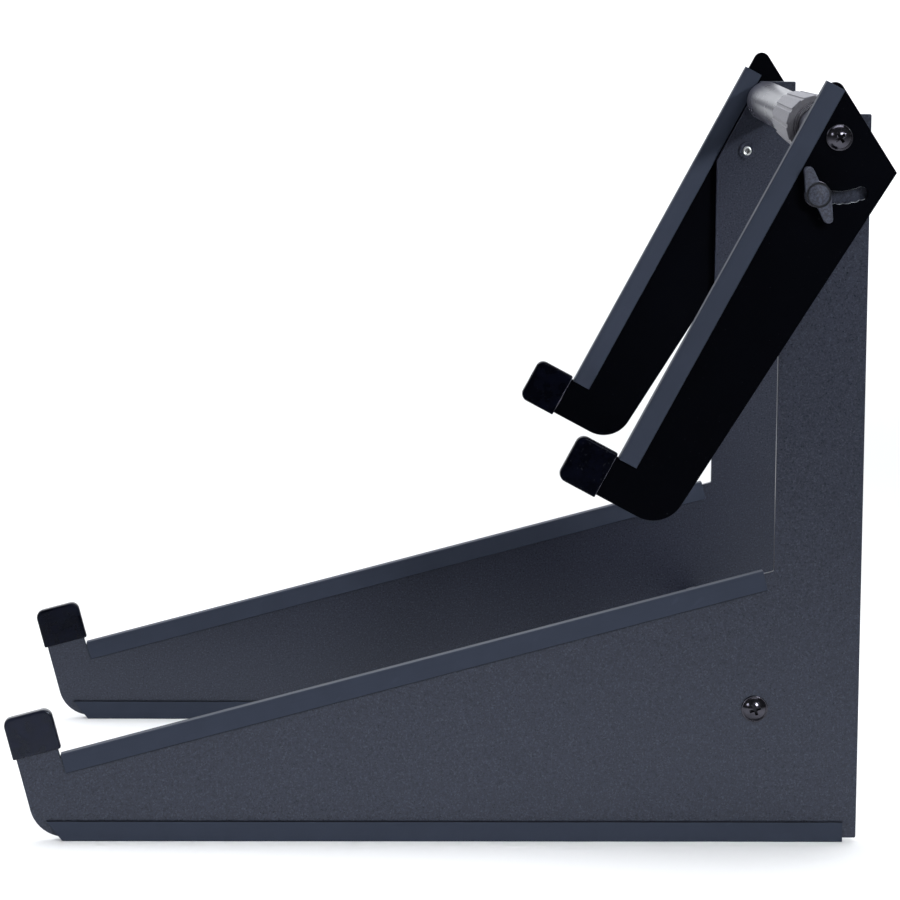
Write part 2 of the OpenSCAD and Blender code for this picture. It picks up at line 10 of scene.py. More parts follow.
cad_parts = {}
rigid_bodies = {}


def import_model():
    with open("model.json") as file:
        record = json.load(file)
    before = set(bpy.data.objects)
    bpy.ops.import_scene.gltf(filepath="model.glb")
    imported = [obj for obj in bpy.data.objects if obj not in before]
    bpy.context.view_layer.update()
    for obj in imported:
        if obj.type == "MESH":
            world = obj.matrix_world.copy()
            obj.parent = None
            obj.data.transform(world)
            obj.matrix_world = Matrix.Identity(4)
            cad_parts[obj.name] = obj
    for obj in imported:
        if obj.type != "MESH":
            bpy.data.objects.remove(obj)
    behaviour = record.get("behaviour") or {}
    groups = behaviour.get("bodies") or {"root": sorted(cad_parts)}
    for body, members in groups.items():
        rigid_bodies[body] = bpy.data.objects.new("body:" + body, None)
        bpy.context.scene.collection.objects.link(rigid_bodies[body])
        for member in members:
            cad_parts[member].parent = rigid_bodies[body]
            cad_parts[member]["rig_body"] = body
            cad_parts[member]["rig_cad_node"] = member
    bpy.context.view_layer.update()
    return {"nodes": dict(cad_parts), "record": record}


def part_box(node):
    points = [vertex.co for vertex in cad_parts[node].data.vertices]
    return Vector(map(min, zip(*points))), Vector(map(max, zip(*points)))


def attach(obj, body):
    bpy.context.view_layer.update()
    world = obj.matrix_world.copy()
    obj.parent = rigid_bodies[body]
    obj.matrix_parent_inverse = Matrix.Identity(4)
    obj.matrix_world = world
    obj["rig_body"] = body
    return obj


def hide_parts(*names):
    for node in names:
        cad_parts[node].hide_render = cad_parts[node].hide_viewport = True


bl_info = {
    "name": "Desktop Stand Looks",
    "version": (1, 0, 0),
    "blender": (4, 5, 0),
    "location": "View3D > Sidebar > Stand",
    "description": "Builds the finished pieces and materials of a tiered desktop stand around its solids",
    "category": "Object",
}

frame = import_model()

MM = 0.001
SIDES = ("near", "far")
TIERS = ("top", "bottom")
# The sign of the way out of the stand along Y on each side
OUTWARD = {"near": -1, "far": 1}
# Slopes of the shelf edges and of the arms' front edges
SHELF_SLOPE = math.radians(15)
ARM_SLOPE = math.radians(62)
# A solid's points closer than this are one point, and faces that turn by less are one face
SAME_POINT = 0.002 * MM
SAME_FACE = math.radians(0.8)
# Tint of the reflections on the dark finishes, which carry a little blue pigment
COOL = (0.78, 0.85, 1.0, 1.0)
# Dust on the paint, and the pale specks in the pinholes of the vinyl
DUST = (0.2, 0.2, 0.22)
CHALK = (0.2, 0.21, 0.24)
BODY_OF = {
    node: body
    for body, nodes in frame["record"]["behaviour"]["bodies"].items()
    for node in nodes
}


class StandSizes(bpy.types.PropertyGroup):
    """Sizes of the small forms that the solids leave out."""

    sheet_edge: FloatProperty(
        name="Sheet edge",
        description="Radius that the coating gives the edges of the steel sheet",
        default=0.35 * MM, min=0.05 * MM, max=0.8 * MM, unit="LENGTH", precision=5,
    )
    trim_edge: FloatProperty(
        name="Trim edge",
        description="Radius of the cut ends and edges of the rubber trims",
        default=0.28 * MM, min=0.05 * MM, max=0.4 * MM, unit="LENGTH", precision=5,
    )
    small_edge: FloatProperty(
        name="Small part edge",
        description="Radius of the edges of nuts, spacers and plugs",
        default=0.15 * MM, min=0.05 * MM, max=0.3 * MM, unit="LENGTH", precision=5,
    )
    tube_edge: FloatProperty(
        name="Tube edge",
        description="Radius of the tubes' cut ends",
        default=0.25 * MM, min=0.05 * MM, max=0.5 * MM, unit="LENGTH", precision=5,
    )
    cap_skin: FloatProperty(
        name="Cap skin",
        description="Grain of the mesh that gives the dipped caps their soft skin",
        default=0.42 * MM, min=0.3 * MM, max=1 * MM, unit="LENGTH", precision=5,
    )
    knob_skin: FloatProperty(
        name="Wing skin",
        description="Grain of the mesh that gives the moulded wings their soft skin",
        default=0.24 * MM, min=0.15 * MM, max=0.6 * MM, unit="LENGTH", precision=5,
    )
    collar_edge: FloatProperty(
        name="Collar edge",
        description="Radius of the edges of the moulded lock collars",
        default=0.35 * MM, min=0.1 * MM, max=0.6 * MM, unit="LENGTH", precision=5,
    )
    turned_sides: IntProperty(
        name="Turned sides",
        description="Number of sides of the turned screws and studs",
        default=64, min=24, max=128,
    )


class StandColours(bpy.types.PropertyGroup):
    """Base colours of the stand's finishes."""

    plate: FloatVectorProperty(
        name="Side plates", description="Powder coat of the side plates",
        subtype="COLOR", size=3, min=0, max=1, default=(0.0110, 0.0124, 0.0205),
    )
    fleck: FloatVectorProperty(
        name="Flecks", description="Light flecks in the side plates' powder coat",
        subtype="COLOR", size=3, min=0, max=1, default=(0.060, 0.064, 0.085),
    )
    arm: FloatVectorProperty(
        name="Arms", description="Black paint of the tilting arms",
        subtype="COLOR", size=3, min=0, max=1, default=(0.0004, 0.0005, 0.0011),
    )
    trim: FloatVectorProperty(
        name="Trims", description="Rubber of the edge trims",
        subtype="COLOR", size=3, min=0, max=1, default=(0.0240, 0.0295, 0.0455),
    )
    cap: FloatVectorProperty(
        name="Caps", description="Dipped vinyl of the lip caps",
        subtype="COLOR", size=3, min=0, max=1, default=(0.0010, 0.0014, 0.0058),
    )
    tube: FloatVectorProperty(
        name="Tubes", description="Satin paint of the cross tubes",
        subtype="COLOR", size=3, min=0, max=1, default=(0.055, 0.055, 0.072),
    )
    collar: FloatVectorProperty(
        name="Collars", description="Moulded plastic of the lock collars",
        subtype="COLOR", size=3, min=0, max=1, default=(0.150, 0.148, 0.172),
    )
    wing: FloatVectorProperty(
        name="Wings", description="Filled nylon of the wing bolts' heads",
        subtype="COLOR", size=3, min=0, max=1, default=(0.031, 0.035, 0.052),
    )
    black_metal: FloatVectorProperty(
        name="Black nickel", description="Plating of the flanged screws",
        subtype="COLOR", size=3, min=0, max=1, default=(0.068, 0.066, 0.080),
    )
    zinc: FloatVectorProperty(
        name="Zinc", description="Plating of the studs and washers",
        subtype="COLOR", size=3, min=0, max=1, default=(0.62, 0.66, 0.70),
    )
    nylon: FloatVectorProperty(
        name="Nylon", description="Spacers, plugs, bushes and sleeves",
        subtype="COLOR", size=3, min=0, max=1, default=(0.012, 0.012, 0.013),
    )


class StandStudio(bpy.types.PropertyGroup):
    """Camera, floor and lights."""

    lens: FloatProperty(
        name="Lens", description="Focal length of the camera on a 36 mm sensor, in millimetres",
        default=177.066, min=20, max=400,
    )
    camera_place: FloatVectorProperty(
        name="Camera place", description="Position of the camera",
        subtype="TRANSLATION", size=3, unit="LENGTH", default=(-0.09046, -2.33987, 0.49029),
    )
    camera_turn: FloatProperty(
        name="Camera turn",
        description="Turn of the camera to the right of straight across the stand",
        subtype="ANGLE", default=0.04198,
    )
    camera_drop: FloatProperty(
        name="Camera drop", description="Angle by which the camera looks down",
        subtype="ANGLE", default=0.13302,
    )
    camera_roll: FloatProperty(
        name="Camera roll", description="Roll of the camera about its line of sight",
        subtype="ANGLE", default=0.01016,
    )
    floor: FloatVectorProperty(
        name="Floor", description="Colour of the floor",
        subtype="COLOR", size=3, min=0, max=1, default=(0.90, 0.90, 0.90),
    )
    air: FloatVectorProperty(
        name="Ambient colour", description="Cool colour of the even light from all round",
        subtype="COLOR", size=3, min=0, max=1, default=(0.95, 0.97, 1.0),
    )
    daylight: FloatProperty(
        name="Ambient light", description="Strength of the even light from all round",
        default=0.11, min=0, max=4,
    )
    sweep_power: FloatProperty(
        name="Sweep power",
        description="Power of the wide ceiling light behind the stand, in watts",
        default=3600, min=0, max=20000,
    )
    key_power: FloatProperty(
        name="Key power",
        description="Power of the gridded softbox to the right of the camera, in watts",
        default=3.0, min=0, max=500,
    )
    top_power: FloatProperty(
        name="Top power", description="Power of the soft light over the stand, in watts",
        default=6, min=0, max=500,
    )


def clear_pick():
    """Leaves nothing selected, so that a new primitive is alone."""
    if bpy.context.object is not None and bpy.context.object.mode != "OBJECT":
        bpy.ops.object.mode_set(mode="OBJECT")
    bpy.ops.object.select_all(action="DESELECT")


def pick(piece):
    """Makes piece the only selected object and the active one."""
    clear_pick()
    piece.select_set(True)
    bpy.context.view_layer.objects.active = piece


def apply_modifier(piece, name, kind, **settings):
    """Adds a modifier with these settings and applies it."""
    pick(piece)
    modifier = piece.modifiers.new(name, kind)
    for key, value in settings.items():
        setattr(modifier, key, value)
    bpy.ops.object.modifier_apply(modifier=modifier.name)


def traced(node):
    """A copy of a solid with its loose triangles merged into clean faces, ready to be finished."""
    pick(frame["nodes"][node])
    bpy.ops.object.duplicate()
    piece = bpy.context.object
    piece.name = node + "_finished"
    bpy.ops.object.parent_clear(type="CLEAR_KEEP_TRANSFORM")
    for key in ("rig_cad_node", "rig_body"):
        del piece[key]
    piece.data.materials.clear()
    bpy.ops.mesh.customdata_custom_splitnormals_clear()
    bpy.ops.object.mode_set(mode="EDIT")
    bpy.ops.mesh.select_all(action="SELECT")
    bpy.ops.mesh.remove_doubles(threshold=SAME_POINT)
    bpy.ops.mesh.dissolve_limited(angle_limit=SAME_FACE)
    bpy.ops.object.mode_set(mode="OBJECT")
    return piece


def cut(piece, name, tool):
    """Cuts the shape of a tool out of a piece and removes the tool."""
    apply_modifier(piece, name, "BOOLEAN", object=tool, operation="DIFFERENCE", solver="EXACT")
    bpy.data.objects.remove(tool)


def shade_by_angle(piece, degrees):
    """Shades a piece smooth, apart from its edges that are sharper than this."""
    pick(piece)
    bpy.ops.object.shade_smooth_by_angle(angle=math.radians(degrees))
    return piece


def soften(piece, width, segments=2, sharper_than=30):
    """Rounds every edge that is sharper than an angle in degrees, and shades flat faces flat."""
    apply_modifier(
        piece, "Softened edges", "BEVEL", width=width, segments=segments, limit_method="ANGLE",
        angle_limit=math.radians(sharper_than), use_clamp_overlap=False,
        miter_outer="MITER_SHARP", loop_slide=False,
    )
    shade_by_angle(piece, 50)
    apply_modifier(piece, "Flat faces", "WEIGHTED_NORMAL", keep_sharp=True, weight=100)
    return piece


def moulded(piece, grain):
    """Wraps a piece in an even skin whose corners are drawn soft."""
    apply_modifier(piece, "Moulded skin", "REMESH", mode="VOXEL", voxel_size=grain)
    apply_modifier(piece, "Soft corners", "SMOOTH", factor=0.5, iterations=3)
    pick(piece)
    bpy.ops.object.shade_smooth()
    return piece


def turned(name, profile, sides):
    """A solid turned about Z: a disc extruded and resized through the (radius, height) pairs."""
    clear_pick()
    radius, height = profile[0]
    bpy.ops.mesh.primitive_circle_add(
        vertices=sides, radius=radius, fill_type="NGON", location=(0, 0, height)
    )
    piece = bpy.context.object
    piece.name = name
    bpy.ops.object.transform_apply()
    bpy.ops.object.mode_set(mode="EDIT")
    bpy.ops.mesh.select_all(action="SELECT")
    for next_radius, next_height in profile[1:]:
        bpy.ops.mesh.extrude_region_move(
            TRANSFORM_OT_translate={"value": (0, 0, next_height - height)}
        )
        share = next_radius / radius
        bpy.ops.transform.resize(value=(share, share, 1), center_override=(0, 0, next_height))
        radius, height = next_radius, next_height
    bpy.ops.mesh.select_all(action="SELECT")
    bpy.ops.mesh.normals_make_consistent(inside=False)
    bpy.ops.object.mode_set(mode="OBJECT")
    return piece


def stood_out(piece, side, foot):
    """Turns a piece built along Z so that it points out of a side of the stand from foot."""
    turn = Euler((math.radians(90), 0, 0 if side == "near" else math.radians(180)))
    piece.matrix_world = Matrix.Translation(foot) @ turn.to_matrix().to_4x4()
    pick(piece)
    bpy.ops.object.transform_apply()
    return piece


def settle(piece, node, material):
    """Gives a finished piece its material and its body, and puts it in a node's place."""
    piece.data.materials.clear()
    piece.data.materials.append(material)
    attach(piece, BODY_OF[node])
    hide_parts(node)
    return piece


def softened(node, name, width, **shape):
    """A softened copy of a node in the node's place, with a finish."""
    return settle(soften(traced(node), width, **shape), node, finish(name))


def second_finish(piece, name, takes, *around):
    """Gives another finish to the faces that takes accepts, given what it measures from."""
    piece.data.materials.append(finish(name))
    for face in piece.data.polygons:
        face.material_index = int(takes(face, *around))


def ends(node, side):
    """How far along Y the inner and the outer end of a node lie."""
    low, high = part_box(node)
    return (low.y, high.y) if OUTWARD[side] > 0 else (high.y, low.y)


def axis_point(node, y):
    """The point on the axis of a turned node that lies at y."""
    low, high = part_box(node)
    return Vector(((low.x + high.x) / 2, y, (low.z + high.z) / 2))


class Wire:
    """An output socket that can be used in Python arithmetic."""

    def __init__(self, shade, socket):
        self.shade, self.socket = shade, socket

    def maths(self, operation, *values):
        """Adds a Math node on these values."""
        node = self.shade.node("ShaderNodeMath", {"operation": operation}, dict(enumerate(values)))
        return Wire(self.shade, node.outputs[0])

    def __add__(self, other):
        return self.maths("ADD", self, other)

    def __sub__(self, other):
        return self.maths("SUBTRACT", self, other)

    def __rsub__(self, other):
        return self.maths("SUBTRACT", other, self)

    def __mul__(self, other):
        return self.maths("MULTIPLY", self, other)

    __radd__ = __add__
    __rmul__ = __mul__


class Shade:
    """A material under construction round one Principled BSDF."""

    def __init__(self, name, **constants):
        self.material = bpy.data.materials.new(name)
        self.material.use_nodes = True
        self.tree = self.material.node_tree
        self.tree.nodes.clear()
        self.surface = self.node("ShaderNodeBsdfPrincipled")
        output = self.node("ShaderNodeOutputMaterial")
        self.tree.links.new(self.surface.outputs["BSDF"], output.inputs["Surface"])
        for key, value in constants.items():
            self.surface.inputs[key.replace("_", " ")].default_value = value
        place = self.node("ShaderNodeTexCoord")
        self.place = Wire(self, place.outputs["Object"])

    def node(self, kind, settings=None, sockets=None):
        """Adds a node: its settings first, then the values or links of its sockets."""
        node = self.tree.nodes.new(kind)
        for key, value in (settings or {}).items():
            setattr(node, key, value)
        for key, value in (sockets or {}).items():
            if isinstance(value, Wire):
                self.tree.links.new(value.socket, node.inputs[key])
            else:
                node.inputs[key].default_value = value
        return node

    def noise(self, size, detail, where=None, roughness=0.5):
        """Even noise whose features are about size metres across."""
        node = self.node(
            "ShaderNodeTexNoise", None,
            {
                "Vector": where or self.place, "Scale": 1 / size,
                "Detail": detail, "Roughness": roughness,
            },
        )
        return Wire(self, node.outputs["Fac"])

    def above(self, value, low, high):
        """0 below low, 1 above high and smooth between them."""
        node = self.node(
            "ShaderNodeMapRange", {"interpolation_type": "SMOOTHSTEP"},
            {"Value": value, "From Min": low, "From Max": high},
        )
        return Wire(self, node.outputs["Result"])

    def blend(self, share, first, second):
        """A colour between two colours."""
        def rgba(colour):
            return colour if isinstance(colour, Wire) else (*colour[:3], 1.0)

        node = self.node(
            "ShaderNodeMix", {"data_type": "RGBA"},
            {"Factor": share, 6: rgba(first), 7: rgba(second)},
        )
        return Wire(self, node.outputs[2])

    def stretched(self, scale, turn):
        """Object coordinates turned about Y and scaled along each axis."""
        turned_place = self.node(
            "ShaderNodeMapping", {"vector_type": "POINT"},
            {"Vector": self.place, "Rotation": (0, turn, 0)},
        )
        node = self.node(
            "ShaderNodeMapping", {"vector_type": "POINT"},
            {"Vector": Wire(self, turned_place.outputs[0]), "Scale": scale},
        )
        return Wire(self, node.outputs[0])

    def bump(self, height, depth, strength):
        """Feeds the surface a bump of this depth in metres and this strength."""
        node = self.node(
            "ShaderNodeBump", None, {"Strength": strength, "Distance": depth, "Height": height}
        )
        self.tree.links.new(node.outputs["Normal"], self.surface.inputs["Normal"])

    def feed(self, socket, value):
        """Links a value to one of the surface's sockets."""
        self.tree.links.new(value.socket, self.surface.inputs[socket])


def scaled(colour, share):
    """A colour made lighter or darker."""
    return tuple(min(1.0, part * share) for part in colour[:3])


def flecked_coat(name, colour, fleck):
    """Powder coat with a fine orange peel, an even grain and faint flecks."""
    shade = Shade(name, Specular_IOR_Level=0.5, Specular_Tint=COOL)
    grain = shade.noise(0.9 * MM, 3, roughness=0.7)
    cloud = shade.noise(45 * MM, 3)
    flecks = shade.above(shade.noise(0.8 * MM, 1), 0.54, 0.74)
    pits = shade.above(shade.noise(1.1 * MM, 1), 0.55, 0.75)
    ground = shade.blend(cloud, scaled(colour, 0.93), scaled(colour, 1.07))
    pale = shade.blend(0.5, ground, scaled(colour, 2.0))
    ground = shade.blend(shade.above(grain, 0.42, 0.6), scaled(colour, 0.72), pale)
    ground = shade.blend(pits * 0.3, ground, scaled(colour, 0.4))
    shade.feed("Base Color", shade.blend(flecks * 0.42, ground, fleck))
    shade.feed("Roughness", 0.2 + grain * 0.2)
    shade.bump(grain + shade.noise(2.2 * MM, 1) * 0.6, 0.05 * MM, 0.5)
    return shade.material


def black_paint(name, colour):
    """Dead black paint with a faint peel and a little dust."""
    shade = Shade(name, Specular_IOR_Level=0.02, Specular_Tint=COOL)
    peel = shade.noise(1.6 * MM, 2)
    dust = shade.above(shade.noise(1.1 * MM, 1), 0.74, 0.82)
    cloud = shade.noise(30 * MM, 3)
    ground = shade.blend(cloud, scaled(colour, 0.6), scaled(colour, 1.6))
    shade.feed("Base Color", shade.blend(dust * 0.08, ground, DUST))
    shade.feed("Roughness", 0.34 + peel * 0.14)
    shade.bump(peel, 0.03 * MM, 0.4)
    return shade.material


def patchy_edge_highlight(name, dark, pale):
    """Pale patches along the walls of the slot: a painted highlight of the sheet's lit edges, patchy like
    paint rubbed through.
    """
    shade = Shade(name, Specular_IOR_Level=0.5, Specular_Tint=COOL)
    highlight_patches = shade.noise(6 * MM, 4, roughness=0.65)
    shade.feed("Base Color", shade.blend(shade.above(highlight_patches, 0.34, 0.56), dark, pale))
    shade.feed("Roughness", 0.3 + highlight_patches * 0.2)
    shade.bump(shade.noise(0.8 * MM, 2), 0.03 * MM, 0.4)
    return shade.material


def extruded_rubber(name, colour, turn):
    """Rubber with faint draw lines along the trim, a thin bloom and a few scuffs."""
    shade = Shade(name, Specular_IOR_Level=0.17, Specular_Tint=COOL)
    lines = shade.noise(1.0, 2, shade.stretched((14, 2600, 2600), turn))
    waves = shade.noise(1.0, 2, shade.stretched((26, 60, 60), turn))
    bloom = shade.noise(14 * MM, 4)
    grain = shade.noise(0.35 * MM, 2)
    askew = turn + 0.5
    streaks = shade.noise(1.0, 1, shade.stretched((70, 900, 240), askew))
    scuffs = shade.above(streaks, 0.7, 0.78)
    ground = shade.blend(bloom, scaled(colour, 0.86), scaled(colour, 1.16))
    ground = shade.blend(lines * 0.35, ground, scaled(colour, 0.8))
    shade.feed("Base Color", shade.blend(scuffs * 0.1, ground, scaled(colour, 2.2)))
    shade.feed("Roughness", 0.46 + bloom * 0.12 + lines * 0.06)
    shade.bump(lines * 0.5 + waves * 1.6 + grain * 0.25, 0.05 * MM, 0.5)
    return shade.material


def dipped_vinyl(name, colour, gloss):
    """Vinyl with the slow ripple and pinholes that dipping leaves."""
    shade = Shade(name, Specular_IOR_Level=gloss, Specular_Tint=COOL)
    ripple = shade.noise(11 * MM, 1)
    pinholes = shade.above(shade.noise(1.2 * MM, 0), 0.76, 0.82)
    haze = shade.noise(5 * MM, 4, roughness=0.6)
    blotches = shade.above(shade.noise(8 * MM, 3, roughness=0.6), 0.38, 0.62)
    pale = shade.blend(blotches, colour, scaled(colour, 2.6))
    ground = shade.blend(haze, scaled(colour, 0.6), pale)
    shade.feed("Base Color", shade.blend(pinholes * 0.03, ground, CHALK))
    shade.feed("Roughness", 0.14 + haze * 0.2 + blotches * 0.12)
    shade.bump(ripple + haze * 0.22 - pinholes * 0.1, 0.5 * MM, 0.5)
    return shade.material


def satin_tube_paint(name, colour):
    """Satin paint with a faint peel and a few specks."""
    shade = Shade(name, Specular_IOR_Level=0.36, Specular_Tint=COOL)
    peel = shade.noise(0.9 * MM, 2)
    cloud = shade.noise(18 * MM, 3)
    specks = shade.above(shade.noise(0.7 * MM, 0), 0.7, 0.78)
    ground = shade.blend(cloud, scaled(colour, 0.93), scaled(colour, 1.07))
    shade.feed("Base Color", shade.blend(specks * 0.3, ground, scaled(colour, 0.6)))
    shade.feed("Roughness", 0.25 + cloud * 0.06)
    shade.bump(peel, 0.004 * MM, 0.3)
    return shade.material


def moulded_plastic(name, colour, mottle, roughness, sparkle=0.0):
    """Moulded plastic with a spark-eroded grain and a mottled filler."""
    shade = Shade(name, Specular_IOR_Level=0.3)
    grain = shade.noise(0.45 * MM, 2)
    patches = shade.above(shade.noise(1.3 * MM, 3, roughness=0.65), 0.32, 0.68)
    fibres = shade.above(shade.noise(0.6 * MM, 1), 0.62, 0.74)
    ground = shade.blend(patches, scaled(colour, 1 - mottle), scaled(colour, 1 + mottle))
    shade.feed("Base Color", shade.blend(fibres * sparkle, ground, scaled(colour, 3.2)))
    shade.feed("Roughness", roughness + grain * 0.14)
    shade.bump(grain + patches * mottle, 0.07 * MM, 0.6)
    return shade.material


def black_nickel(name, colour, roughness):
    """Dark mirror plating with a slight haze and a polishing grain."""
    shade = Shade(name, Metallic=1.0)
    haze = shade.noise(2.5 * MM, 3)
    grain = shade.noise(0.25 * MM, 2)
    shade.feed("Base Color", shade.blend(haze, scaled(colour, 0.8), scaled(colour, 1.25)))
    shade.feed("Roughness", roughness + haze * 0.1)
    shade.bump(grain, 0.01 * MM, 0.3)
    return shade.material


def bright_zinc(name, colour):
    """Passivated zinc plating with faint cool and warm patches."""
    shade = Shade(name, Metallic=1.0)
    patches = shade.noise(2 * MM, 3)
    pits = shade.noise(0.3 * MM, 2)
    warm = (colour[0] * 1.08, colour[1], colour[2] * 0.9)
    shade.feed("Base Color", shade.blend(patches, colour, warm))
    shade.feed("Roughness", 0.2 + pits * 0.18)
    shade.bump(pits, 0.015 * MM, 0.5)
    return shade.material


FINISHES = {}


def finish(name):
    """A finish by name, made once."""
    if name not in FINISHES:
        colours = bpy.context.scene.stand_colours
        maker, *settings = {
            "plate_coat": (flecked_coat, colours.plate, colours.fleck),
            "arm_paint": (black_paint, colours.arm),
            # The slot walls' pale zinc tone is a painted highlight of the lit sheet edges
            "slot_edge": (patchy_edge_highlight, scaled(colours.trim, 0.6), scaled(colours.zinc, 0.9)),
            "base_rubber": (extruded_rubber, colours.trim, 0.0),
            "shelf_rubber": (extruded_rubber, colours.trim, SHELF_SLOPE),
            # Near-black rubber for the faces that look towards the sheet: painted shadow along the trims'
            # edges
            "cut_rubber": (extruded_rubber, scaled(colours.trim, 0.12), 0.0),
            "arm_rubber": (extruded_rubber, colours.trim, ARM_SLOPE),
            "near_shelf_vinyl": (dipped_vinyl, colours.cap, 0.33),
            # The far shelf cap is the same vinyl, painted darker and less glossy as shade
            "far_shelf_vinyl": (dipped_vinyl, scaled(colours.cap, 0.6), 0.12),
            "arm_vinyl": (dipped_vinyl, scaled(colours.cap, 0.35), 0.03),
            # Lighter grey vinyl for the arm caps' rims: a painted highlight of the caps' edges
            "cap_rim": (dipped_vinyl, scaled(colours.tube, 0.8), 0.3),
            "tube_paint": (satin_tube_paint, colours.tube),
            "collar_plastic": (moulded_plastic, colours.collar, 0.14, 0.42),
            # A darker copy of the collar plastic for the collars' ends: painted shade
            "collar_nose": (moulded_plastic, scaled(colours.collar, 0.42), 0.12, 0.5),
            "wing_nylon": (moulded_plastic, colours.wing, 0.45, 0.52, 0.35),
            "screw_plating": (black_nickel, colours.black_metal, 0.13),
            # A darker copy of the plating for the recess: painted shade
            "recess_plating": (black_nickel, scaled(colours.black_metal, 0.3), 0.16),
            "zinc_plating": (bright_zinc, colours.zinc),
            # A darker copy of the zinc for the stud's dimple: painted shade
            "dimple_plating": (bright_zinc, scaled(colours.zinc, 0.3)),
            # A much darker copy of the wing nylon for the groove: painted shade
            "groove_nylon": (moulded_plastic, scaled(colours.wing, 0.2), 0.2, 0.6),
            "black_nylon": (moulded_plastic, colours.nylon, 0.25, 0.4),
        }[name]
        FINISHES[name] = maker(name, *settings)
    return FINISHES[name]


class STAND_OT_sheet_metal(bpy.types.Operator):
    """Side plates and arms with coated, softened sheet edges"""

    bl_idname = "stand.sheet_metal"
    bl_label = "Sheet Metal"

    arm_edge_share = 0.8
    slot_reach = 24 * MM
    # The Y part of a normal from which a face lies in the sheet's plane
    in_plane = 0.9

    def on_slot_wall(self, face, slot):
        """Whether a face stands square to the arm's sheet close to the slot."""
        away = (face.center - slot) * Vector((1, 0, 1))
        return abs(face.normal.y) < self.in_plane and away.length < self.slot_reach

    def execute(self, context):
        edge = context.scene.stand_sizes.sheet_edge
        for side in SIDES:
            softened(side + "_side_plate", "plate_coat", edge)
            arm = softened(side + "_arm", "arm_paint", edge * self.arm_edge_share)
            low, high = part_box(side + "_wing_stud")
            # The faces of the slot walls get the pale finish, a painted highlight
            second_finish(arm, "slot_edge", self.on_slot_wall, (low + high) / 2)
        return {"FINISHED"}


class STAND_OT_edge_trims(bpy.types.Operator):
    """Rubber channels on the base, shelf and arm edges"""

    bl_idname = "stand.edge_trims"
    bl_label = "Edge Trims"

    # Kind, slope, reach of the lower end towards the lip, and the open side: up 1, down -1
    channels = (
        ("base", 0, 0, 1),
        ("shelf", SHELF_SLOPE, 1.4 * MM, -1),
        ("arm", ARM_SLOPE, 0.8 * MM, -1),
    )
    end_depth = 0.3 * MM
    # How squarely a face looks to the open side to get the near-black finish, a painted shadow line along
    # the trim's edge
    shadow_from = 0.3

    def pressed_on(self, trim, slope, reach):
        """Pushes a trim's lower end along its slope by reach, up to the lip."""
        along = Vector((math.cos(slope), 0, math.sin(slope)))
        places = [along.dot(point.co) for point in trim.data.vertices]
        end = min(places) + self.end_depth
        for point, place in zip(trim.data.vertices, places):
            point.select = place < end
        bpy.ops.object.mode_set(mode="EDIT")
        bpy.ops.transform.translate(value=-along * reach)
        bpy.ops.object.mode_set(mode="OBJECT")
        return trim

    def in_painted_shadow(self, face, inward):
        """Whether a face looks towards the sheet; these faces are painted near black as the shadow line
        along the trim's edge.
        """
        return face.normal.dot(inward) > self.shadow_from

    def execute(self, context):
        edge = context.scene.stand_sizes.trim_edge
        for side in SIDES:
            for kind, slope, reach, upward in self.channels:
                node = f"{side}_{kind}_trim"
                trim = soften(self.pressed_on(traced(node), slope, reach), edge)
                settle(trim, node, finish(kind + "_rubber"))
                inward = Vector((-math.sin(slope), 0, math.cos(slope))) * upward
                # The legs' edges get the near-black finish, a painted shadow line
                second_finish(trim, "cut_rubber", self.in_painted_shadow, inward)
        return {"FINISHED"}


class STAND_OT_lip_caps(bpy.types.Operator):
    """Dipped vinyl caps on the lips of the shelves and arms"""

    bl_idname = "stand.lip_caps"
    bl_label = "Lip Caps"

    # The way that the mouth of an arm's cap faces, and how squarely its rim faces that way; the rim is
    # painted lighter as a highlight of the cap's edge
    mouth_drop = math.radians(28)
    mouth = Vector((math.cos(mouth_drop), 0, -math.sin(mouth_drop)))
    rim_from = 0.45

    def on_rim(self, face):
        """Whether a face belongs to the rim round a cap's mouth, which gets the painted highlight."""
        return face.normal.dot(self.mouth) > self.rim_from

    def execute(self, context):
        grain = context.scene.stand_sizes.cap_skin
        for side in SIDES:
            # Each side's shelf cap has its own finish; the far one is a darker copy painted as shade
            for kind, name in (("shelf", side + "_shelf_vinyl"), ("arm", "arm_vinyl")):
                node = f"{side}_{kind}_lip_cap"
                cap = settle(moulded(traced(node), grain), node, finish(name))
                if kind == "arm":
                    # The rim's faces get the lighter finish, a painted highlight
                    second_finish(cap, "cap_rim", self.on_rim)
        return {"FINISHED"}


